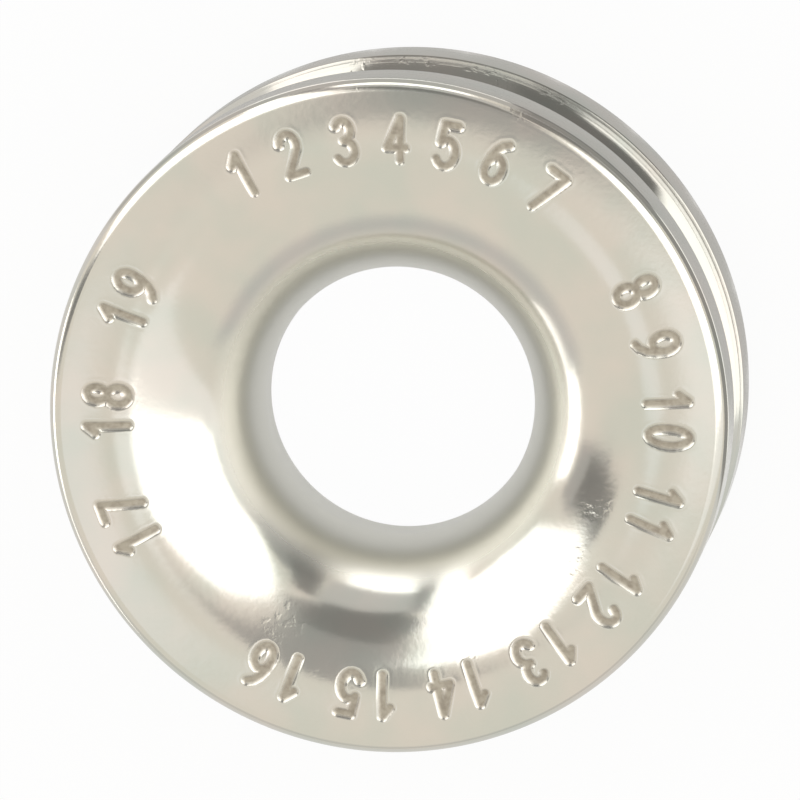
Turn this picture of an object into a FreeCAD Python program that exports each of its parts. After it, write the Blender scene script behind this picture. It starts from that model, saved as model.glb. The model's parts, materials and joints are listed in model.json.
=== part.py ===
import FreeCAD, Part
import os
import Sketcher
from enum import IntEnum

# Low friction ring: one turned piece of stainless steel, in millimetres.
# A line runs through the flared throat, and a lashing lies in the groove round the rim.
# The origin is the centre of the ring, and +Z is its axis. Both faces are alike.

NODE = "ring"

# Driving sizes: alias, value and what it measures.
SIZES = [
    ("outer_diameter", 12.5, "across the rim, outside the groove"),
    ("throat_diameter", 5.0, "the hole at its narrowest"),
    ("ring_width", 5.0, "from face to face along the axis"),
    ("throat_land", 0.5, "straight wall at the middle of the throat, along the axis"),
    ("flare_reach", 2.75, "how far each flare spreads from the throat wall before it is level with the face"),
    ("lashing_diameter", 3.0, "the rope that the rim groove is cut for"),
    ("groove_depth", 0.45, "bottom of the rim groove below the rim"),
    ("rim_round", 0.25, "radius on the outer edge of each face"),
    ("lip_round", 0.10, "radius where the groove meets the rim"),
]


class Point(IntEnum):
    """Which point of a piece of sketch geometry a constraint holds."""
    START = 1
    END = 2
    CENTRE = 3


class Own(IntEnum):
    """The geometry that every sketch brings with it."""
    H_AXIS = -1


# The sketch's origin is the start of its horizontal axis.
ORIGIN = (Own.H_AXIS, Point.START)

# How near two lengths are to count as the same when an edge is looked up.
SAME_LENGTH = 1e-4


def fill_sheet(doc):
    """Writes the driving sizes to a spreadsheet, each under its alias."""
    sheet = doc.addObject("Spreadsheet::Sheet", "Sizes")
    for row, (alias, value, note) in enumerate(SIZES, start=1):
        sheet.set(f"A{row}", alias)
        sheet.set(f"B{row}", str(value))
        sheet.set(f"C{row}", note)
        sheet.setAlias(f"B{row}", alias)
    doc.recompute()
    return sheet


def origin_plane(body, role):
    """Finds one of the body's own origin planes by its role."""
    return next(item for item in body.Origin.OriginFeatures if item.Role == role)


def section_sketch(body, name):
    """Adds a sketch on the plane through the axis: its x is the radius and its y the height."""
    sketch = body.newObject("Sketcher::SketchObject", name)
    sketch.AttachmentSupport = [(origin_plane(body, "XZ_Plane"), "")]
    sketch.MapMode = "FlatFace"
    return sketch


def relate(sketch, kind, *parts):
    """Adds a constraint that has no size."""
    sketch.addConstraint(Sketcher.Constraint(kind, *parts))


def measure(sketch, name, expression, kind, *parts):
    """Adds a constraint with a size, and binds that size to the sheet."""
    index = sketch.addConstraint(Sketcher.Constraint(kind, *parts))
    sketch.renameConstraint(index, name)
    sketch.setExpression(f"Constraints.{name}", expression)


def line(sketch, start, end):
    """Adds a straight line between two (radius, height) points."""
    return sketch.addGeometry(Part.LineSegment(FreeCAD.Vector(*start, 0), FreeCAD.Vector(*end, 0)))


def turn(body, kind, name, sketch):
    """Adds or cuts what a section sweeps in a full turn round the ring's axis."""
    feature = body.newObject(kind, name)
    feature.Profile = sketch
    feature.ReferenceAxis = (sketch, ["V_Axis"])
    feature.Angle = 360
    sketch.Visibility = False
    return feature


def turn_blank(body, sheet):
    """Turns the plain ring: a rectangle from the throat wall to the rim, the same above and below."""
    inner = sheet.throat_diameter / 2
    outer = sheet.outer_diameter / 2
    half = sheet.ring_width / 2

    sketch = section_sketch(body, "blank_section")
    bottom = line(sketch, (inner, -half), (outer, -half))
    rim = line(sketch, (outer, -half), (outer, half))
    top = line(sketch, (outer, half), (inner, half))
    wall = line(sketch, (inner, half), (inner, -half))
    loop = [bottom, rim, top, wall]
    for edge, following in zip(loop, loop[1:] + loop[:1]):
        relate(sketch, "Coincident", edge, Point.END, following, Point.START)
    relate(sketch, "Horizontal", bottom)
    relate(sketch, "Horizontal", top)
    relate(sketch, "Vertical", wall)
    relate(sketch, "Symmetric", rim, Point.START, rim, Point.END, Own.H_AXIS)
    measure(sketch, "wall_radius", "Sizes.throat_diameter / 2", "DistanceX", *ORIGIN, wall, Point.END, inner)
    measure(sketch, "rim_radius", "Sizes.outer_diameter / 2", "DistanceX", *ORIGIN, rim, Point.START, outer)
    measure(sketch, "width", "Sizes.ring_width", "DistanceY", rim, Point.START, rim, Point.END, 2 * half)
    return turn(body, "PartDesign::Revolution", "blank", sketch)


def cut_flare(body, sheet):
    """Opens the throat to the upper face with a quarter of an ellipse, level with wall and face."""
    inner = sheet.throat_diameter / 2
    low = sheet.throat_land / 2
    high = sheet.ring_width / 2
    reach = sheet.flare_reach
    rise = high - low
    centre = FreeCAD.Vector(inner + reach, low, 0)
    sideways = FreeCAD.Vector(reach, 0, 0)
    upwards = FreeCAD.Vector(0, rise, 0)
    wide = reach >= rise

    # The quarter runs from the face down to the wall, and its long axis lies the longer way.
    if wide:
        ellipse = Part.Ellipse(centre + sideways, centre + upwards, centre)
    else:
        ellipse = Part.Ellipse(centre + upwards, centre - sideways, centre)
    face_point = ellipse.parameter(centre + upwards)
    wall_point = ellipse.parameter(centre - sideways)

    sketch = section_sketch(body, "flare_section")
    curve = sketch.addGeometry(Part.ArcOfEllipse(ellipse, face_point, wall_point))
    sketch.exposeInternalGeometry(curve)
    long_axis = curve + 1
    short_axis = curve + 2
    wall = line(sketch, (inner, low), (inner, high))
    face = line(sketch, (inner, high), (inner + reach, high))
    relate(sketch, "Coincident", curve, Point.END, wall, Point.START)
    relate(sketch, "Coincident", wall, Point.END, face, Point.START)
    relate(sketch, "Coincident", face, Point.END, curve, Point.START)
    relate(sketch, "Vertical", wall)
    relate(sketch, "Horizontal", face)
    relate(sketch, "Horizontal", wall, Point.START, curve, Point.CENTRE)
    relate(sketch, "Vertical", curve, Point.START, curve, Point.CENTRE)
    relate(sketch, "Horizontal", long_axis if wide else short_axis)
    width_axis, height_axis = (long_axis, short_axis) if wide else (short_axis, long_axis)
    measure(sketch, "mouth_radius", "Sizes.throat_diameter / 2 + Sizes.flare_reach",
            "DistanceX", *ORIGIN, curve, Point.CENTRE, centre.x)
    measure(sketch, "land_top", "Sizes.throat_land / 2", "DistanceY", *ORIGIN, curve, Point.CENTRE, low)
    measure(sketch, "reach_twice", "2 * Sizes.flare_reach", "Distance", width_axis, 2 * reach)
    measure(sketch, "rise_twice", "Sizes.ring_width - Sizes.throat_land", "Distance", height_axis, 2 * rise)
    return turn(body, "PartDesign::Groove", "flare", sketch)


def mirror_flare(body, flare):
    """Repeats the flare on the lower face."""
    mirror = body.newObject("PartDesign::Mirrored", "lower_flare")
    mirror.Originals = [flare]
    mirror.MirrorPlane = (origin_plane(body, "XY_Plane"), [""])
    body.Tip = mirror
    return mirror


def cut_rim_groove(body, sheet):
    """Cuts the lashing's seat round the rim: a circle of the rope's own size, sunk by the groove's depth."""
    radius = sheet.lashing_diameter / 2
    centre = sheet.outer_diameter / 2 - sheet.groove_depth + radius

    sketch = section_sketch(body, "groove_section")
    rope = sketch.addGeometry(Part.Circle(FreeCAD.Vector(centre, 0, 0), FreeCAD.Vector(0, 0, 1), radius))
    relate(sketch, "PointOnObject", rope, Point.CENTRE, Own.H_AXIS)
    measure(sketch, "rope_radius", "Sizes.lashing_diameter / 2", "Radius", rope, radius)
    measure(sketch, "rope_centre",
            "Sizes.outer_diameter / 2 - Sizes.groove_depth + Sizes.lashing_diameter / 2",
            "DistanceX", *ORIGIN, rope, Point.CENTRE, centre)
    return turn(body, "PartDesign::Groove", "rim_groove", sketch)


def round_edges(body, name, base, radius_alias, wanted):
    """Rounds the circular edges whose radius and height the wanted function accepts."""
    names = []
    for number, edge in enumerate(base.Shape.Edges, start=1):
        if isinstance(edge.Curve, Part.Circle) and wanted(edge.Curve.Radius, abs(edge.Curve.Center.z)):
            names.append(f"Edge{number}")
    fillet = body.newObject("PartDesign::Fillet", name)
    fillet.Base = (base, names)
    fillet.setExpression("Radius", f"Sizes.{radius_alias}")
    return fillet


def build_ring(doc, sheet):
    """Builds the ring as one body, from the blank to the last rounded edge."""
    body = doc.addObject("PartDesign::Body", NODE)
    body.Label = NODE
    rim = sheet.outer_diameter / 2
    half = sheet.ring_width / 2

    turn_blank(body, sheet)
    flare = cut_flare(body, sheet)
    mirror_flare(body, flare)
    groove = cut_rim_groove(body, sheet)
    doc.recompute()

    def on_rim(radius):
        return abs(radius - rim) < SAME_LENGTH

    def is_face_edge(radius, height):
        return on_rim(radius) and abs(height - half) < SAME_LENGTH

    def is_groove_lip(radius, height):
        return on_rim(radius) and height < half - SAME_LENGTH

    lips = round_edges(body, "lips", groove, "lip_round", is_groove_lip)
    doc.recompute()
    round_edges(body, "rims", lips, "rim_round", is_face_edge)
    doc.recompute()
    return body


def check(doc, bodies):
    """Stops if a feature failed, or if a body has no sound single solid."""
    for item in doc.Objects:
        if "Invalid" in item.State or "Error" in item.State:
            raise RuntimeError(f"{item.Name} failed: {item.State}")
    for body in bodies:
        shape = body.Shape
        if shape.isNull() or not shape.isValid() or len(shape.Solids) != 1:
            raise RuntimeError(f"{body.Label} is not one sound solid")


def main():
    """Builds the ring and writes its STEP file."""
    doc = FreeCAD.newDocument("low_friction_ring")
    sheet = fill_sheet(doc)
    ring = build_ring(doc, sheet)
    check(doc, [ring])
    os.makedirs("parts", exist_ok=True)
    ring.Shape.exportStep(f"parts/{ring.Label}.step")
    box = ring.Shape.optimalBoundingBox(False)
    print(f"{ring.Label}: {box.XLength:.3f} x {box.YLength:.3f} x {box.ZLength:.3f} mm,",
          f"{ring.Shape.Volume:.2f} mm3, {len(ring.Shape.Faces)} faces")


main()
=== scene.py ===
import json
import logging
import math
import random
from dataclasses import dataclass, field
from enum import Enum

import bmesh
import bpy
from mathutils import Matrix, Vector


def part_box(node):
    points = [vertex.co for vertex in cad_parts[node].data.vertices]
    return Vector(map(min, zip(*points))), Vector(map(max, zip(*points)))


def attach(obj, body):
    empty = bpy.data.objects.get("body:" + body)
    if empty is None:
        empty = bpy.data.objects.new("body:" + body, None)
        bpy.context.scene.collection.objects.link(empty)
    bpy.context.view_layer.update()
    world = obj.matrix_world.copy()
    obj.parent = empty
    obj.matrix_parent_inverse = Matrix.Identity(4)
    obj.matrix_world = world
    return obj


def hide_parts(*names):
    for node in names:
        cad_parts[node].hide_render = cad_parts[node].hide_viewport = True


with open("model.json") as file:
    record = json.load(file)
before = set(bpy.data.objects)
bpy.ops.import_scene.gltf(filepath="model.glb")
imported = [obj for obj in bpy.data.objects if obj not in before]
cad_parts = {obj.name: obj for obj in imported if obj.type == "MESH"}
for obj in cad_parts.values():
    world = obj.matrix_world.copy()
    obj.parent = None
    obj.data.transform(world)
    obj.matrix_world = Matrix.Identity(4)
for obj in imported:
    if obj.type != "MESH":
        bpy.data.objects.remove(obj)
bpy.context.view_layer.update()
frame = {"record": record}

LOG = logging.getLogger("low_friction_ring")

# The model is shaped in millimetres and brought to metres once, when a mesh is finished.
MM = 0.001

# A map range node with this setting eases both its ends.
SOFT = {"interpolation_type": "SMOOTHSTEP"}

# The cell that a figure is drawn in, and how many degrees of an arc lie between two of its points.
CELL_WIDTH = 0.6
CELL_HEIGHT = 1.0
ARC_STEP = 20

# Two angles nearer than this, in degrees, are the same.
SAME_ANGLE = 0.1


class Axis(Enum):
    """A direction that a turned piece or a plane faces."""

    UP = Vector((0.0, 0.0, 1.0))


def linear_colour(hex_code: str) -> tuple[float, float, float, float]:
    """Turns an sRGB hex code into the linear colour that Blender's sockets take.

    Args:
        hex_code: Six hex digits with a leading hash.

    Returns:
        Linear red, green and blue, and an alpha of 1.
    """
    channels = [int(hex_code[place:place + 2], 16) / 255 for place in (1, 3, 5)]
    linear = [c / 12.92 if c <= 0.04045 else ((c + 0.055) / 1.055) ** 2.4 for c in channels]
    return (*linear, 1.0)


def smooth_step(value: float) -> float:
    """Eases a value from 0 to 1 with level ends.

    Args:
        value: Any number; what lies outside 0 to 1 is held at the nearer end.

    Returns:
        The eased value.
    """
    held = min(max(value, 0.0), 1.0)
    return held * held * (3.0 - 2.0 * held)


def polar(radius: float, degrees: float) -> tuple[float, float]:
    """Gives the point at a radius and an angle, anticlockwise from +X.

    Args:
        radius: Distance from the axis.
        degrees: Angle in degrees.

    Returns:
        The point's x and y.
    """
    angle = math.radians(degrees)
    return radius * math.cos(angle), radius * math.sin(angle)


def direction(azimuth: float, tilt: float) -> Vector:
    """Gives the unit vector that leans from +Z towards a side.

    Args:
        azimuth: The side, in degrees anticlockwise from +X.
        tilt: How far it leans from +Z, in degrees.

    Returns:
        The unit vector.
    """
    lean = math.radians(tilt)
    x, y = polar(math.sin(lean), azimuth)
    return Vector((x, y, math.cos(lean)))


def new_material(name: str) -> tuple[bpy.types.Material, bpy.types.NodeTree]:
    """Makes an empty node material.

    Args:
        name: The material's name.

    Returns:
        The material and its node tree, with no nodes in it.
    """
    material = bpy.data.materials.new(name)
    material.use_nodes = True
    material.node_tree.nodes.clear()
    return material, material.node_tree


def add_node(tree: bpy.types.NodeTree, kind: str, settings: dict | None = None,
             inputs: dict | None = None) -> bpy.types.Node:
    """Adds a node with its settings, values and links.

    Args:
        tree: The tree that gets the node.
        kind: The node's type name.
        settings: Attributes of the node.
        inputs: What each input socket holds, by name or number: a value, or another node's output socket.

    Returns:
        The new node.
    """
    node = tree.nodes.new(kind)
    for name, value in (settings or {}).items():
        setattr(node, name, value)
    for key, value in (inputs or {}).items():
        if isinstance(value, bpy.types.NodeSocket):
            tree.links.new(value, node.inputs[key])
        else:
            node.inputs[key].default_value = value
    return node


@dataclass(frozen=True)
class RingSection:
    """The ring's section, in millimetres: radius outwards, height along the axis."""

    outer_radius: float
    half_width: float
    throat_radius: float
    half_land: float
    groove_bottom: float
    flare_reach: float = 2.75
    rope_radius: float = 1.5
    rim_round: float = 0.25
    lip_round: float = 0.10
    dome: float = 0.026

    @classmethod
    def from_frame(cls) -> "RingSection":
        """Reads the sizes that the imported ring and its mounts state.

        Returns:
            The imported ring's section.
        """
        low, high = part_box("ring")
        mounts = {mount["name"]: mount for mount in frame["record"]["mounts"]}
        throat = mounts["throat"]["dims"]
        return cls(
            outer_radius=round((high.x - low.x) / 2 / MM, 3),
            half_width=round((high.z - low.z) / 2 / MM, 3),
            throat_radius=throat["r_mm"],
            half_land=throat["length_mm"] / 2,
            groove_bottom=mounts["lashing_groove"]["pos_m"][0] / MM,
        )

    @property
    def mouth_radius(self) -> float:
        """Where the flare is level with the face."""
        return self.throat_radius + self.flare_reach

    @property
    def face_edge(self) -> float:
        """Where the flat face gives way to the rim's rounding."""
        return self.outer_radius - self.rim_round

    @property
    def face_width(self) -> float:
        """How wide the face is between the flare and the rim's rounding."""
        return self.face_edge - self.mouth_radius

    def upper_height(self, radius: float) -> float:
        """Gives the height of the upper surface over a radius between the throat and the rim.

        Args:
            radius: Distance from the axis.

        Returns:
            The height.
        """
        rise = self.half_width - self.half_land
        if radius < self.mouth_radius:
            share = min((self.mouth_radius - radius) / self.flare_reach, 1.0)
            return self.half_land + rise * math.sqrt(1.0 - share * share)
        share = min((radius - self.mouth_radius) / self.face_width, 1.0)
        softened = self.half_width - self.dome * share ** 2
        if radius > self.face_edge:
            share = min((radius - self.face_edge) / self.rim_round, 1.0)
            return softened - self.rim_round * (1.0 - math.sqrt(1.0 - share * share))
        return softened

    def upper_half(self, band_step: float) -> list[tuple[float, float]]:
        """Draws the section's upper half, from the throat's middle over the face to the groove's bottom.

        Args:
            band_step: Spacing of the points across the flat face and the outer flare.

        Returns:
            Points of radius and height.
        """
        points = [(self.throat_radius, 0.0)]
        rise = self.half_width - self.half_land
        flare_steps = 46
        for step in range(flare_steps + 1):
            angle = math.pi / 2 * step / flare_steps
            points.append((self.mouth_radius - self.flare_reach * math.cos(angle),
                           self.half_land + rise * math.sin(angle)))
        face_steps = round(self.face_width / band_step)
        for step in range(1, face_steps + 1):
            radius = self.mouth_radius + self.face_width * step / face_steps
            points.append((radius, self.upper_height(radius)))
        rim_steps = 12
        for step in range(1, rim_steps + 1):
            radius = self.face_edge + self.rim_round * math.sin(math.pi / 2 * step / rim_steps)
            points.append((radius, self.upper_height(radius)))
        points += self.groove_half()
        return points

    def groove_half(self) -> list[tuple[float, float]]:
        """Draws the rim from its middle to the groove's bottom: the rounded lip and the rope's seat.

        Returns:
            Points of radius and height.
        """
        centre = self.groove_bottom + self.rope_radius
        reach = centre - self.outer_radius + self.lip_round
        lip_height = math.sqrt((self.rope_radius + self.lip_round) ** 2 - reach ** 2)
        contact = math.atan2(lip_height, reach)
        points = [(self.outer_radius, (lip_height + self.half_width - self.rim_round) / 2)]
        lip_steps = 6
        for step in range(lip_steps + 1):
            angle = contact * step / lip_steps
            points.append((self.outer_radius - self.lip_round * (1.0 - math.cos(angle)),
                           lip_height - self.lip_round * math.sin(angle)))
        seat_steps = 14
        for step in range(1, seat_steps + 1):
            angle = contact * (1.0 - step / seat_steps)
            points.append((centre - self.rope_radius * math.cos(angle), self.rope_radius * math.sin(angle)))
        return points

    def outline(self, band_step: float) -> list[tuple[float, float]]:
        """Closes the section with its mirror image below the middle.

        Args:
            band_step: Spacing of the points across the flat face.

        Returns:
            Points of radius and height, once round.
        """
        upper = self.upper_half(band_step)
        lower = [(radius, -height) for radius, height in reversed(upper[1:-1])]
        return upper + lower


@dataclass(frozen=True)
class Stroke:
    """A curved piece of a figure: an arc of an ellipse in its cell, between two angles in degrees."""

    x: float
    y: float
    wide: float
    high: float
    start: float = 0.0
    end: float = 360.0

    def points(self) -> list[tuple[float, float]]:
        """Walks along the arc.

        Returns:
            Points of x and y in the cell.
        """
        steps = max(1, round(abs(self.end - self.start) / ARC_STEP))
        angles = [math.radians(self.start + (self.end - self.start) * n / steps) for n in range(steps + 1)]
        return [(self.x + self.wide * math.cos(a), self.y + self.high * math.sin(a)) for a in angles]


def straight(*corners: tuple[float, float]) -> list[tuple[float, float]]:
    """Names a run of straight lines by its corners."""
    return list(corners)


# Plain single-stroke figures with round ends, as a hand punch cuts them.
FIGURES = {
    "0": [Stroke(0.30, 0.50, 0.28, 0.50).points()],
    "1": [straight((0.10, 0.78), (0.34, 1.0), (0.34, 0.0))],
    "2": [Stroke(0.30, 0.72, 0.27, 0.28, 165, -30).points() + [(0.03, 0.0), (0.58, 0.0)]],
    "3": [Stroke(0.28, 0.76, 0.25, 0.24, 150, -90).points(),
          Stroke(0.28, 0.26, 0.30, 0.26, 90, -150).points()],
    "4": [straight((0.44, 0.0), (0.44, 1.0), (0.02, 0.30), (0.60, 0.30))],
    "5": [straight((0.55, 1.0), (0.12, 1.0), (0.08, 0.55)),
          Stroke(0.28, 0.32, 0.31, 0.32, 130, -150).points()],
    "6": [Stroke(0.30, 0.30, 0.28, 0.30).points(), Stroke(0.54, 0.30, 0.52, 0.70, 100, 180).points()],
    "7": [straight((0.02, 1.0), (0.58, 1.0), (0.20, 0.0))],
    "8": [Stroke(0.30, 0.76, 0.23, 0.24).points(), Stroke(0.30, 0.26, 0.28, 0.26).points()],
    "9": [Stroke(0.30, 0.70, 0.28, 0.30).points(), Stroke(0.06, 0.70, 0.52, 0.70, -80, 0).points()],
}


@dataclass(frozen=True)
class NumberArc:
    """A run of counting numbers along the face, read clockwise with their tops outwards.

    The angles are in degrees: where the run starts, and the pitch from figure to figure and from the
    last figure of a number to the next number.
    """

    first: int
    last: int
    start: float
    figure_pitch: float
    number_pitch: float

    def figures(self) -> list[tuple[str, float]]:
        """Sets the figures out along the run.

        Returns:
            Each figure with the angle that it stands at.
        """
        placed = []
        angle = self.start
        for number in range(self.first, self.last + 1):
            for figure in str(number):
                placed.append((figure, angle))
                angle -= self.figure_pitch
            angle += self.figure_pitch - self.number_pitch
        return placed


@dataclass
class NumberBand:
    """Plain counting numbers punched round the upper face, as on a dial.

    Lengths are in millimetres. The width is a share of the height, and the burr's width a share of the
    wall. A hand-held punch errs by up to the given angles, in degrees, and its lightest blow cuts only
    that share of the depth.
    """

    height: float = 0.77
    width: float = 0.74
    middle_radius: float = 5.17
    stroke_half: float = 0.072
    wall: float = 0.06
    depth: float = 0.036
    burr: float = 0.001
    burr_width: float = 0.6
    burr_reach: float = 0.04
    angle_error: float = 0.5
    turn_error: float = 2.5
    radius_error: float = 0.02
    lightest_blow: float = 0.75
    longest_stroke: float = 1.0
    seed: int = 7
    arcs: tuple[NumberArc, ...] = (
        NumberArc(1, 7, 120.0, 7.0, 10.8),
        NumberArc(8, 16, 28.0, 7.0, 12.0),
        NumberArc(17, 19, 206.0, 7.0, 16.5),
    )
    segments: list[tuple[Vector, Vector, float]] = field(default_factory=list)

    def __post_init__(self) -> None:
        """Lays every stroke out on the face."""
        dice = random.Random(self.seed)
        for arc in self.arcs:
            for figure, angle in arc.figures():
                self.punch(figure, angle + dice.uniform(-self.angle_error, self.angle_error), dice)

    def punch(self, figure: str, angle: float, dice: random.Random) -> None:
        """Places one figure's strokes, slightly off true as a hand-held punch leaves them.

        Args:
            figure: A digit.
            angle: Where it stands, in degrees anticlockwise from +X.
            dice: The source of the small errors.
        """
        lean = angle - 90.0 + dice.uniform(-self.turn_error, self.turn_error)
        turn = Matrix.Rotation(math.radians(lean), 2)
        radius = self.middle_radius + dice.uniform(-self.radius_error, self.radius_error)
        place = Vector(polar(radius, angle))
        weight = dice.uniform(self.lightest_blow, 1.0)
        for run in FIGURES[figure]:
            corners = [place + turn @ Vector(((x - CELL_WIDTH / 2) * self.height * self.width,
                                              (y - CELL_HEIGHT / 2) * self.height)) for x, y in run]
            self.segments += [(a, b, weight) for a, b in zip(corners, corners[1:])]

    @property
    def reach(self) -> float:
        """How far from a stroke's middle the metal is moved."""
        return self.stroke_half + self.wall + self.burr_reach

    def nearest(self, x: float, y: float, within: float) -> tuple[float, float]:
        """Finds the nearest stroke.

        Args:
            x: Where the point is.
            y: Where the point is.
            within: Strokes further off than this don't count.

        Returns:
            The distance to the stroke's middle line and how deep that stroke is cut.
        """
        best, weight = within, 0.0
        far = within + self.longest_stroke
        for start, end, deep in self.segments:
            if abs(x - start.x) > far or abs(y - start.y) > far:
                continue
            along = end - start
            offset_x, offset_y = x - start.x, y - start.y
            share = (offset_x * along.x + offset_y * along.y) / max(along.length_squared, 1e-9)
            share = min(max(share, 0.0), 1.0)
            distance = math.hypot(offset_x - along.x * share, offset_y - along.y * share)
            if distance < best:
                best, weight = distance, deep
        return best, weight


@dataclass(frozen=True)
class KnockedPlace:
    """A patch of small knocks: its place on the ring, in millimetres and degrees, and how far it reaches.

    The share says how deep its knocks are: at 1 they have the finish's own depth.
    """

    radius: float
    degrees: float
    reach: float
    share: float = 1.0
    height: float = 2.3


@dataclass(frozen=True)
class SteelFinish:
    """Stainless steel, turned and then tumbled in a polishing drum.

    The eye sees a soft mirror, with ragged edges on the reflections where other parts knocked the ring. The
    throat is satin, and its brighter colour is a painted reflection. Fine lathe lines are left on the rim,
    where the polishing stones hardly reach, and the punched figures keep a matt brownish floor.
    """

    colour: str = "#cfcac3"
    cloud_colour: str = "#c5c7c0"
    # The throat's colour is lighter than the face's: a painted reflection.
    throat_colour: str = "#d8d7d0"
    floor_colour: str = "#a49e92"
    stain_colour: str = "#8f887d"
    roughness: float = 0.135
    throat_roughness: float = 0.3
    floor_roughness: float = 0.45
    throat_end_mm: float = 3.05
    face_start_mm: float = 3.4
    rim_start_mm: float = 6.02
    rim_end_mm: float = 6.12
    # Clouds, stains and knocks are about as wide as they look in the photograph.
    cloud_mm: float = 1.4
    cloud_range: tuple[float, float] = (0.35, 0.65)
    stain_mm: float = 0.12
    stain_range: tuple[float, float] = (0.4, 0.7)
    knock_mm: float = 0.17
    knock_range: tuple[float, float] = (0.5, 0.75)
    knock_depth_mm: float = 0.0018
    knock_core: float = 0.5
    # A real fine cut feeds about 0.03 mm a turn, which is too fine to show, so it is drawn coarser.
    lathe_mm: float = 0.07
    lathe_range: tuple[float, float] = (0.35, 0.65)
    lathe_depth_mm: float = 0.0016
    # The grain that tumbling leaves is about 0.02 mm wide, and it is drawn coarser for the same reason.
    grain_mm: float = 0.11
    grain_range: tuple[float, float] = (0.2, 0.8)
    grain_depth_mm: float = 0.0004
    knocked: tuple[KnockedPlace, ...] = (
        KnockedPlace(4.35, 243.0, 0.55),
        KnockedPlace(4.75, 256.0, 0.5, 0.6),
        KnockedPlace(4.2, 322.0, 0.5, 0.7),
        KnockedPlace(4.1, 338.0, 0.45),
        KnockedPlace(4.65, 289.0, 0.25),
        KnockedPlace(6.2, 94.0, 0.3),
        KnockedPlace(6.2, 84.0, 0.35),
        KnockedPlace(6.2, 66.0, 0.35),
        KnockedPlace(5.95, 98.0, 0.6, 2.5, -0.7),
        KnockedPlace(5.95, 88.0, 0.6, 3.5, -0.7),
        KnockedPlace(5.95, 76.0, 0.6, 3.5, -0.7),
        KnockedPlace(5.95, 63.0, 0.5, 2.5, -0.7),
    )

    def noise(self, tree: bpy.types.NodeTree, place: bpy.types.NodeSocket, size_mm: float,
              limits: tuple[float, float]) -> bpy.types.NodeSocket:
        """Adds a cloudy pattern that runs from 0 to 1.

        Args:
            tree: The material's tree.
            place: Object coordinates.
            size_mm: How far apart the clouds are.
            limits: The raw noise values that become 0 and 1.

        Returns:
            The pattern's socket.
        """
        raw = add_node(tree, "ShaderNodeTexNoise", None,
                       {"Vector": place, "Scale": 1.0 / (size_mm * MM), "Detail": 2.0}).outputs["Fac"]
        return add_node(tree, "ShaderNodeMapRange", None, {
            "Value": raw, "From Min": limits[0], "From Max": limits[1]}).outputs["Result"]

    def shade(self, tree: bpy.types.NodeTree, place: bpy.types.NodeSocket, outside: bpy.types.NodeSocket,
              stamp: bpy.types.NodeSocket) -> bpy.types.NodeSocket:
        """Adds the colours: cloudy on the face, brighter in the throat as a painted reflection, stained in
        the figures.

        Args:
            tree: The material's tree.
            place: Object coordinates.
            outside: 0 in the throat and 1 beyond it.
            stamp: 1 on the floor of a figure.

        Returns:
            The colour's socket.
        """
        clouded = add_node(tree, "ShaderNodeMix", {"data_type": "RGBA"}, {
            "Factor": self.noise(tree, place, self.cloud_mm, self.cloud_range),
            6: linear_colour(self.colour), 7: linear_colour(self.cloud_colour)}).outputs[2]
        # The throat's lighter colour is a painted reflection.
        painted_throat_mix = add_node(tree, "ShaderNodeMix", {"data_type": "RGBA"}, {
            "Factor": outside, 6: linear_colour(self.throat_colour), 7: clouded}).outputs[2]
        stained = add_node(tree, "ShaderNodeMix", {"data_type": "RGBA"}, {
            "Factor": self.noise(tree, place, self.stain_mm, self.stain_range),
            6: linear_colour(self.floor_colour), 7: linear_colour(self.stain_colour)}).outputs[2]
        return add_node(tree, "ShaderNodeMix", {"data_type": "RGBA"}, {
            "Factor": stamp, 6: painted_throat_mix, 7: stained}).outputs[2]

    def knocks(self, tree: bpy.types.NodeTree, place: bpy.types.NodeSocket) -> bpy.types.NodeSocket:
        """Adds the small knocks, each patch with a soft border.

        Args:
            tree: The material's tree.
            place: Object coordinates.

        Returns:
            The height's socket.
        """
        patches = None
        for knocked in self.knocked:
            centre = Vector((*polar(knocked.radius, knocked.degrees), knocked.height)) * MM
            away = add_node(tree, "ShaderNodeVectorMath", {"operation": "DISTANCE"}, {
                0: place, 1: centre}).outputs["Value"]
            patch = add_node(tree, "ShaderNodeMapRange", SOFT, {
                "Value": away, "From Min": knocked.reach * self.knock_core * MM,
                "From Max": knocked.reach * MM, "To Min": knocked.share, "To Max": 0.0}).outputs["Result"]
            if patches is not None:
                patch = add_node(tree, "ShaderNodeMath", {"operation": "MAXIMUM"}, {
                    0: patches, 1: patch}).outputs["Value"]
            patches = patch
        return add_node(tree, "ShaderNodeMath", {"operation": "MULTIPLY"}, {
            0: patches, 1: self.noise(tree, place, self.knock_mm, self.knock_range)}).outputs["Value"]

    def lathe_lines(self, tree: bpy.types.NodeTree, place: bpy.types.NodeSocket,
                    radius: bpy.types.NodeSocket) -> bpy.types.NodeSocket:
        """Adds fine lines that run round the rim.

        Args:
            tree: The material's tree.
            place: Object coordinates.
            radius: The distance from the axis.

        Returns:
            The height's socket.
        """
        height = add_node(tree, "ShaderNodeSeparateXYZ", None, {0: place}).outputs["Z"]
        section = add_node(tree, "ShaderNodeCombineXYZ", None, {"X": radius, "Z": height}).outputs["Vector"]
        lines = self.noise(tree, section, self.lathe_mm, self.lathe_range)
        on_rim = add_node(tree, "ShaderNodeMapRange", SOFT, {
            "Value": radius, "From Min": self.rim_start_mm * MM,
            "From Max": self.rim_end_mm * MM}).outputs["Result"]
        return add_node(tree, "ShaderNodeMath", {"operation": "MULTIPLY"}, {
            0: lines, 1: on_rim}).outputs["Value"]

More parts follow.
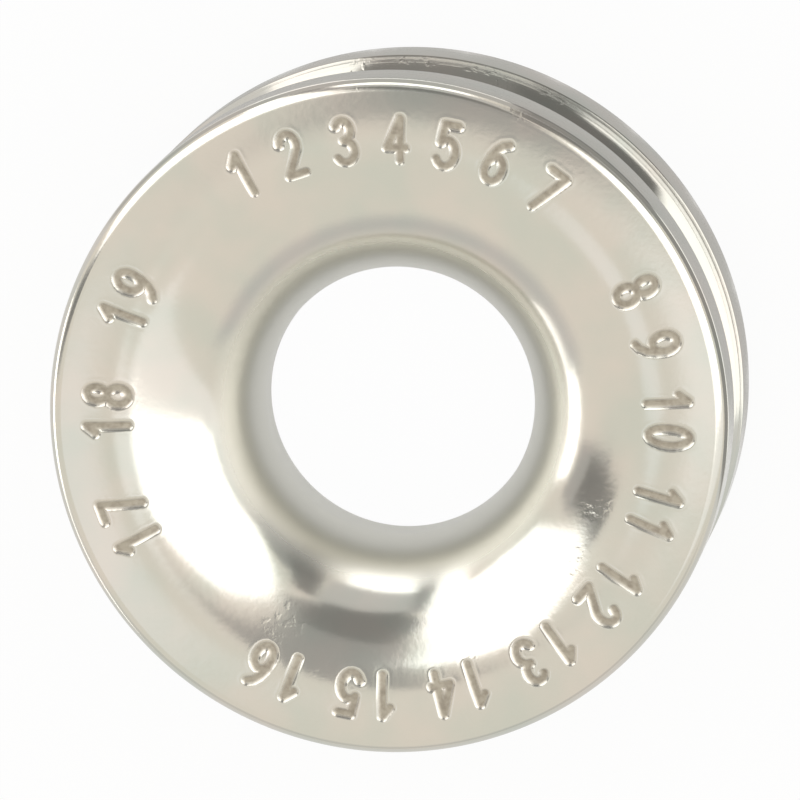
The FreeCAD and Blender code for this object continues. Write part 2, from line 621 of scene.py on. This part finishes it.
    def material(self) -> bpy.types.Material:
        """Builds the node material.

        Returns:
            The steel's material.
        """
        material, tree = new_material("stainless_steel_tumbled")
        place = add_node(tree, "ShaderNodeTexCoord").outputs["Object"]
        stamp = add_node(tree, "ShaderNodeAttribute", {"attribute_name": "figure_floor"}).outputs["Fac"]
        flat = add_node(tree, "ShaderNodeVectorMath", {"operation": "MULTIPLY"}, {
            0: place, 1: (1.0, 1.0, 0.0)}).outputs["Vector"]
        radius = add_node(tree, "ShaderNodeVectorMath", {"operation": "LENGTH"}, {0: flat}).outputs["Value"]
        outside = add_node(tree, "ShaderNodeMapRange", SOFT, {
            "Value": radius, "From Min": self.throat_end_mm * MM,
            "From Max": self.face_start_mm * MM}).outputs["Result"]
        satin = add_node(tree, "ShaderNodeMapRange", None, {
            "Value": outside, "To Min": self.throat_roughness, "To Max": self.roughness}).outputs["Result"]
        rough = add_node(tree, "ShaderNodeMapRange", None, {
            "Value": stamp, "To Min": satin, "To Max": self.floor_roughness}).outputs["Result"]
        relief = None
        for height, depth_mm in ((self.knocks(tree, place), self.knock_depth_mm),
                                 (self.lathe_lines(tree, place, radius), self.lathe_depth_mm),
                                 (self.noise(tree, place, self.grain_mm, self.grain_range),
                                  self.grain_depth_mm)):
            inputs = {"Height": height, "Strength": 1.0, "Distance": depth_mm * MM}
            if relief is not None:
                inputs["Normal"] = relief
            relief = add_node(tree, "ShaderNodeBump", None, inputs).outputs["Normal"]
        shader = add_node(tree, "ShaderNodeBsdfPrincipled", None, {
            "Base Color": self.shade(tree, place, outside, stamp), "Metallic": 1.0, "Roughness": rough,
            "Normal": relief})
        add_node(tree, "ShaderNodeOutputMaterial", None, {"Surface": shader.outputs["BSDF"]})
        return material


@dataclass
class Ring:
    """The turned ring, shaped on its true section, with the numbers punched into its upper face.

    Corners above the upper share of the half width may be punched, within the margin beside the
    figures. The faces that the strokes reach are divided finely, and so is the given share of a step
    beyond them.
    """

    section: RingSection
    numbers: NumberBand
    finish: SteelFinish
    turns: int = 288
    band_step: float = 0.09
    band_margin: float = 0.15
    upper_share: float = 0.9
    fine_cuts: int = 3
    fine_share: float = 0.75

    def build(self) -> bpy.types.Object:
        """Makes the ring and gives it its finish.

        Returns:
            The ring's object.
        """
        mesh = self.shape()
        piece = bpy.data.objects.new("steel_ring", mesh)
        bpy.context.scene.collection.objects.link(piece)
        mesh.materials.append(self.finish.material())
        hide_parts("ring")
        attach(piece, "root")
        return piece

    def shape(self) -> bpy.types.Mesh:
        """Spins the section, refines the face beside the figures and punches them.

        Returns:
            The ring's mesh, in metres.
        """
        bm = bmesh.new()
        outline = self.section.outline(self.band_step)
        corners = [bm.verts.new((radius, 0.0, height)) for radius, height in outline]
        edges = [bm.edges.new(pair) for pair in zip(corners, corners[1:] + corners[:1])]
        bmesh.ops.spin(bm, geom=corners + edges, cent=(0, 0, 0), axis=Axis.UP.value, dvec=(0, 0, 0),
                       angle=2 * math.pi, steps=self.turns, use_merge=True, use_duplicate=False)
        bmesh.ops.recalc_face_normals(bm, faces=bm.faces)
        self.refine(bm)
        self.punch(bm)
        for face in bm.faces:
            face.smooth = True
        bmesh.ops.scale(bm, vec=(MM, MM, MM), verts=bm.verts)
        mesh = bpy.data.meshes.new("steel_ring")
        bm.to_mesh(mesh)
        bm.free()
        return mesh

    def in_band(self, vert: bmesh.types.BMVert) -> bool:
        """Tells whether a corner lies on the upper face, where figures may be punched.

        Args:
            vert: A corner of the ring, in millimetres.

        Returns:
            True beside the figures.
        """
        if vert.co.z <= self.upper_share * self.section.half_width:
            return False
        radius = math.hypot(vert.co.x, vert.co.y)
        spread = self.numbers.height / 2 + self.numbers.reach + self.band_margin
        return abs(radius - self.numbers.middle_radius) < spread

    def refine(self, bm: bmesh.types.BMesh) -> None:
        """Divides the faces beside the strokes, and puts the new corners on the true section.

        Args:
            bm: The spun ring.
        """
        margin = self.numbers.reach + self.band_step * self.fine_share
        near = {vert for vert in bm.verts
                if self.in_band(vert) and self.numbers.nearest(vert.co.x, vert.co.y, margin)[1] > 0}
        faces = {face for vert in near for face in vert.link_faces}
        edges = {edge for face in faces for edge in face.edges}
        made = bmesh.ops.subdivide_edges(bm, edges=list(edges), cuts=self.fine_cuts, use_grid_fill=True)
        for item in made["geom_inner"]:
            if isinstance(item, bmesh.types.BMVert) and all(len(face.verts) == 4 for face in item.link_faces):
                item.co.z = self.section.upper_height(math.hypot(item.co.x, item.co.y))
        bmesh.ops.triangulate(bm, faces=[face for face in bm.faces if len(face.verts) > 4])

    def punch(self, bm: bmesh.types.BMesh) -> None:
        """Sinks the strokes into the face and raises a slight burr beside them.

        Args:
            bm: The refined ring.
        """
        floor = bm.verts.layers.float.new("figure_floor")
        band = self.numbers
        for vert in bm.verts:
            if not self.in_band(vert):
                continue
            distance, deep = band.nearest(vert.co.x, vert.co.y, band.reach)
            if deep == 0.0:
                continue
            sunk = smooth_step((band.stroke_half + band.wall / 2 - distance) / band.wall)
            crest = (distance - band.stroke_half - band.wall) / (band.wall * band.burr_width)
            vert.co.z += band.burr * math.exp(-crest * crest) * deep - band.depth * deep * sunk
            vert[floor] = sunk


@dataclass(frozen=True)
class FloorFinish:
    """Smooth white table board. It keeps the ring's soft shadow, but under the ring, where it shows through
    the throat, painted light makes it white over that shadow.

    The shares say how much of it is plain white to the camera and in the metal, beyond the ring and
    under it; the higher shares under it are painted light over the ring's shadow. One gives way to the other
    between the two distances from the ring's axis.
    """

    colour: str = "#eef1f6"
    seen_share: float = 0.92
    under_share: float = 0.97
    mirrored_share: float = 0.45
    mirrored_under_share: float = 0.47
    under_mm: float = 4.8
    clear_mm: float = 6.4

    def white(self, tree: bpy.types.NodeTree, away: bpy.types.NodeSocket, under: float,
              outside: float) -> bpy.types.NodeSocket:
        """Adds the share of plain white, which changes softly below the ring's rim to the painted light under
        the ring.

        Args:
            tree: The material's tree.
            away: The distance from the ring's axis.
            under: The share under the ring, raised there as painted light over the ring's shadow.
            outside: The share beyond it.

        Returns:
            The share's socket.
        """
        return add_node(tree, "ShaderNodeMapRange", SOFT, {
            "Value": away, "From Min": self.under_mm * MM, "From Max": self.clear_mm * MM,
            "To Min": under, "To Max": outside}).outputs["Result"]

    def material(self) -> bpy.types.Material:
        """Builds the node material.

        Returns:
            The board's material.
        """
        material, tree = new_material("white_board")
        path = add_node(tree, "ShaderNodeLightPath")
        place = add_node(tree, "ShaderNodeTexCoord").outputs["Object"]
        away = add_node(tree, "ShaderNodeVectorMath", {"operation": "LENGTH"}, {0: place}).outputs["Value"]
        # Under the ring both shares are higher: painted light over the ring's shadow.
        seen = add_node(tree, "ShaderNodeMath", {"operation": "MULTIPLY"}, {
            0: path.outputs["Is Camera Ray"],
            1: self.white(tree, away, self.under_share, self.seen_share)}).outputs["Value"]
        other = add_node(tree, "ShaderNodeMath", {"operation": "MAXIMUM"}, {
            0: path.outputs["Is Glossy Ray"], 1: path.outputs["Is Transmission Ray"]}).outputs["Value"]
        mirrored = add_node(tree, "ShaderNodeMath", {"operation": "MULTIPLY"}, {
            0: other,
            1: self.white(tree, away, self.mirrored_under_share, self.mirrored_share)}).outputs["Value"]
        share = add_node(tree, "ShaderNodeMath", {"operation": "MAXIMUM"}, {
            0: seen, 1: mirrored}).outputs["Value"]
        board = add_node(tree, "ShaderNodeBsdfDiffuse", None, {"Color": linear_colour(self.colour)})
        glow = add_node(tree, "ShaderNodeEmission", None, {"Color": (1, 1, 1, 1), "Strength": 1.0})
        mixed = add_node(tree, "ShaderNodeMixShader", None, {
            0: share, 1: board.outputs["BSDF"], 2: glow.outputs["Emission"]})
        add_node(tree, "ShaderNodeOutputMaterial", None, {"Surface": mixed.outputs["Shader"]})
        return material


@dataclass(frozen=True)
class Card:
    """A soft box or a dark card that only the metal sees. Its border fades, so its mirror image is soft."""

    name: str
    level: float
    fade: float
    colour: str = "#fffdf9"

    def shape(self) -> bmesh.types.BMesh:
        """Makes the card in millimetres, with a share of 0 on its border and 1 inside."""
        raise NotImplementedError

    def place(self) -> bpy.types.Object:
        """Hangs the card in the studio.

        Returns:
            The card's object.
        """
        bm = self.shape()
        bmesh.ops.scale(bm, vec=(MM, MM, MM), verts=bm.verts)
        mesh = bpy.data.meshes.new(self.name)
        bm.to_mesh(mesh)
        bm.free()
        mesh.materials.append(self.material())
        card = bpy.data.objects.new(self.name, mesh)
        bpy.context.scene.collection.objects.link(card)
        card.visible_camera = False
        card.visible_shadow = False
        card.visible_diffuse = False
        return card

    def material(self) -> bpy.types.Material:
        """Builds the node material: the card's own light in the middle and clear at the border.

        Returns:
            The card's material.
        """
        material, tree = new_material(self.name)
        share = add_node(tree, "ShaderNodeAttribute", {"attribute_name": "share"}).outputs["Fac"]
        eased = add_node(tree, "ShaderNodeMapRange", SOFT, {"Value": share}).outputs["Result"]
        clear = add_node(tree, "ShaderNodeBsdfTransparent")
        light = add_node(tree, "ShaderNodeEmission", None, {
            "Color": linear_colour(self.colour), "Strength": self.level})
        mixed = add_node(tree, "ShaderNodeMixShader", None, {
            0: eased, 1: clear.outputs["BSDF"], 2: light.outputs["Emission"]})
        add_node(tree, "ShaderNodeOutputMaterial", None, {"Surface": mixed.outputs["Shader"]})
        return material


@dataclass(frozen=True)
class SkyCard(Card):
    """A far card, drawn by the directions in which the ring sees its corners.

    Each corner is an azimuth, anticlockwise from +X, and a tilt from straight up, in degrees. The fade is
    in degrees too. Of two cards one behind the other, the nearer shows.
    """

    corners: tuple[tuple[float, float], ...] = ()
    distance: float = 400.0

    def shape(self) -> bmesh.types.BMesh:
        """Makes the polygon and an inner one that leaves the fading border.

        Returns:
            The card's mesh, in millimetres.
        """
        bm = bmesh.new()
        share = bm.verts.layers.float.new("share")
        outline = [bm.verts.new(direction(azimuth, tilt) * self.distance) for azimuth, tilt in self.corners]
        face = bm.faces.new(outline)
        border = self.distance * math.tan(math.radians(self.fade))
        bmesh.ops.inset_individual(bm, faces=[face], thickness=border, depth=0.0, use_even_offset=True)
        for vert in bm.verts:
            vert[share] = 0.0 if vert in outline else 1.0
        return bm


@dataclass(frozen=True)
class BenchCard(Card):
    """A card close to the ring: a straight line between two (radius, height) points, swept round the axis.

    The fade is in millimetres along the line. The ends of the sweep fade over one of its steps.
    """

    start: float = 0.0
    end: float = 90.0
    near: tuple[float, float] = (7.0, -2.47)
    far: tuple[float, float] = (60.0, -2.47)
    steps: int = 12

    def shape(self) -> bmesh.types.BMesh:
        """Sweeps the line and marks its border.

        Returns:
            The card's mesh, in millimetres.
        """
        bm = bmesh.new()
        share = bm.verts.layers.float.new("share")
        inner, outer = Vector(self.near), Vector(self.far)
        edge = self.fade / (outer - inner).length
        line = []
        for part in (0.0, edge, 1.0 - edge, 1.0):
            radius, height = inner.lerp(outer, part)
            vert = bm.verts.new((*polar(radius, self.start), height))
            vert[share] = 1.0 if 0.0 < part < 1.0 else 0.0
            line.append(vert)
        edges = [bm.edges.new(pair) for pair in zip(line, line[1:])]
        sweep = self.end - self.start
        bmesh.ops.spin(bm, geom=line + edges, cent=(0, 0, 0), axis=Axis.UP.value, dvec=(0, 0, 0),
                       angle=math.radians(sweep), steps=self.steps, use_duplicate=False)
        for vert in bm.verts:
            azimuth = math.degrees(math.atan2(vert.co.y, vert.co.x))
            turned = (azimuth - self.start) % 360.0
            if min(turned, 360.0 - turned, abs(turned - sweep)) < SAME_ANGLE:
                vert[share] = 0.0
        return bm


@dataclass(frozen=True)
class MatchedCamera:
    """The photograph's long-lens view, a little off the ring's axis.

    Angles are in degrees, lengths in millimetres and pixels in the photograph's frame.
    """

    tilt: float = 11.65
    azimuth: float = 53.8
    distance: float = 167.8
    focal_pixels: float = 9063.0
    ring_pixel: tuple[float, float] = (402.54, 397.0)
    frame_pixels: float = 800.0
    sensor_mm: float = 36.0
    clip_near: float = 10.0
    clip_far: float = 20000.0

    def place(self) -> bpy.types.Object:
        """Makes the camera and makes it the scene's own.

        Returns:
            The camera's object.
        """
        data = bpy.data.cameras.new("camera")
        data.sensor_width = self.sensor_mm
        data.lens = self.focal_pixels / self.frame_pixels * self.sensor_mm
        data.clip_start = self.clip_near * MM
        data.clip_end = self.clip_far * MM
        lean = (Matrix.Rotation(math.radians(self.azimuth), 3, "Z")
                @ Matrix.Rotation(math.radians(self.tilt), 3, "Y")
                @ Matrix.Rotation(math.radians(-self.azimuth), 3, "Z"))
        pixel_mm = self.distance / self.focal_pixels
        across = (self.ring_pixel[0] - self.frame_pixels / 2) * pixel_mm
        down = (self.ring_pixel[1] - self.frame_pixels / 2) * pixel_mm
        ring_seen = Vector((across, -down, -self.distance))
        camera = bpy.data.objects.new("camera", data)
        bpy.context.scene.collection.objects.link(camera)
        camera.matrix_world = Matrix.Translation(-(lean @ ring_seen) * MM) @ lean.to_4x4()
        bpy.context.scene.camera = camera
        return camera


# What the face and the flare mirror: windows, and between them cards that are darker than the room.
SKY_CARDS = (
    SkyCard("window_right", 2.4, 1.8, distance=700.0, corners=(
        (38, 13), (50, 20), (58, 30), (58, 38), (55, 46), (51, 53), (45, 61), (37, 67), (14, 69),
        (-1, 69), (-8, 60), (-17, 34), (-35, 18), (-50, 15), (-20, 8), (20, 11))),
    SkyCard("window_right_glow", 1.3, 8.0, distance=1200.0, corners=(
        (20, 14), (20, 76), (-9, 78), (-18, 68), (-32, 45), (-65, 24), (-60, 8))),
    SkyCard("window_left", 2.4, 1.8, distance=700.0, corners=(
        (127, 14), (119, 24), (112, 36), (111, 55), (114, 74), (118, 90), (124, 90), (126, 66), (140, 74),
        (155, 74), (161, 56), (168, 42), (168, 32), (165, 15))),
    SkyCard("window_low", 2.6, 2.5, distance=700.0, corners=((80, 61), (79, 85), (108, 85), (108, 61))),
    SkyCard("strip_low_left", 3.4, 2.0, distance=700.0, corners=((173, 74), (169, 89), (224, 89), (216, 76))),
    SkyCard("over_right", 1.35, 2.0, distance=500.0, corners=(
        (-50, 9), (-68, 12), (-95, 12), (-110, 8), (-80, 4))),
    SkyCard("over_left", 1.22, 2.5, distance=500.0, corners=((200, 16), (205, 25), (232, 26), (236, 15))),
    SkyCard("card_top", 0.5, 4.0, distance=420.0, corners=(
        (66, 26), (62, 38), (72, 44), (100, 44), (110, 30), (126, 14), (208, 10), (330, 2), (60, 10))),
    SkyCard("card_back", 0.32, 5.0, distance=300.0, corners=(
        (72, 26), (70, 36), (76, 46), (104, 50), (112, 42), (108, 26))),
    SkyCard("card_mid_back", 0.8, 5.5, distance=360.0, corners=(
        (72, 40), (74, 66), (84, 67), (108, 66), (107, 40))),
    SkyCard("card_low_right", 0.32, 3.5, distance=300.0, corners=(
        (63, 46), (57, 60), (54, 68), (51, 90), (70, 90), (71, 66), (71, 46))),
    SkyCard("card_mid_right", 0.5, 1.0, distance=320.0, corners=(
        (57, 55), (50, 60), (38, 68), (0, 69.5), (0, 72), (34, 72), (35, 88), (57, 88))),
    SkyCard("card_low_left", 0.45, 1.5, distance=300.0, corners=(
        (106, 50), (107, 90), (117, 90), (113, 62), (111, 48))),
    SkyCard("card_left", 0.3, 3.0, distance=300.0, corners=(
        (183, 32), (170, 31), (168, 42), (169, 60), (182, 58))),
    SkyCard("card_far_left", 0.6, 4.0, distance=340.0, corners=(
        (186, 42), (169, 46), (165, 60), (168, 72), (184, 69))),
)

# What the rim and the far flange mirror, low beside the ring.
BENCH_CARDS = (
    # The card at the ring's foot is a painted shadow: the metal mirrors it in place of the ring's shade on
    # the table.
    BenchCard("painted_shadow_foot", 0.58, 0.08, start=-16.0, end=178.0, near=(6.27, -2.47), far=(7.8, -2.47)),
    BenchCard("bench_light_right", 1.9, 1.5, start=-14.0, end=40.0, near=(8.0, -2.46), far=(60.0, -2.46)),
    BenchCard("bench_far_right", 1.8, 4.0, start=30.0, end=60.0, near=(14.0, -2.42), far=(60.0, -2.42),
              steps=5),
    BenchCard("bench_dark_back", 0.24, 0.6, start=32.0, end=74.0, near=(7.5, -2.43), far=(60.0, -2.43),
              steps=6),
    BenchCard("bench_grey_back", 0.33, 0.6, start=66.0, end=104.0, near=(7.5, -2.44), far=(60.0, -2.44),
              steps=8),
    BenchCard("bench_light_left", 1.9, 1.5, start=98.0, end=122.0, near=(8.0, -2.45), far=(60.0, -2.45),
              steps=6),
    BenchCard("bench_white_back", 1.9, 0.4, start=68.0, end=104.0, near=(7.75, -0.6), far=(7.9, 0.7)),
    BenchCard("shelf_right", 0.42, 0.4, start=-20.0, end=68.0, near=(7.2, 0.8), far=(60.0, 0.8)),
    BenchCard("shelf_back", 0.7, 0.4, start=62.0, end=152.0, near=(7.2, 0.9), far=(60.0, 0.9)),
    BenchCard("wall_front", 0.8, 80.0, start=-165.0, end=-30.0, near=(300.0, -2.0), far=(300.0, 170.0)),
)


@dataclass
class Studio:
    """A plain white table in a pale room, with the soft boxes and dark cards that the metal mirrors.

    Lengths are in millimetres.
    """

    floor_height: float
    room_colour: str = "#fffaf0"
    room_level: float = 1.06
    floor_size: float = 6000.0
    cards: tuple[Card, ...] = SKY_CARDS + BENCH_CARDS

    def build(self) -> None:
        """Lays the floor, lights the room and hangs the cards."""
        self.lay_floor()
        self.light_room()
        for card in self.cards:
            card.place()

    def lay_floor(self) -> None:
        """Makes the table top that the ring lies on."""
        bm = bmesh.new()
        bmesh.ops.create_grid(bm, x_segments=1, y_segments=1, size=self.floor_size / 2 * MM)
        bmesh.ops.translate(bm, vec=(0, 0, self.floor_height * MM), verts=bm.verts)
        mesh = bpy.data.meshes.new("floor")
        bm.to_mesh(mesh)
        bm.free()
        mesh.materials.append(FloorFinish().material())
        floor = bpy.data.objects.new("floor", mesh)
        bpy.context.scene.collection.objects.link(floor)

    def light_room(self) -> None:
        """Gives the room its even light."""
        world = bpy.data.worlds.new("room")
        bpy.context.scene.world = world
        world.use_nodes = True
        world.node_tree.nodes.clear()
        room = add_node(world.node_tree, "ShaderNodeBackground", None, {
            "Color": linear_colour(self.room_colour), "Strength": self.room_level})
        add_node(world.node_tree, "ShaderNodeOutputWorld", None, {"Surface": room.outputs["Background"]})


def main() -> None:
    """Builds the ring, the studio and the camera."""
    logging.basicConfig(level=logging.INFO, format="%(message)s")
    section = RingSection.from_frame()
    ring = Ring(section, NumberBand(), SteelFinish()).build()
    LOG.info("%s: %d corners, %d faces", ring.name, len(ring.data.vertices), len(ring.data.polygons))
    Studio(floor_height=-section.half_width).build()
    MatchedCamera().place()
    bpy.context.scene.view_settings.view_transform = "Standard"


if __name__ == "__main__":
    main()
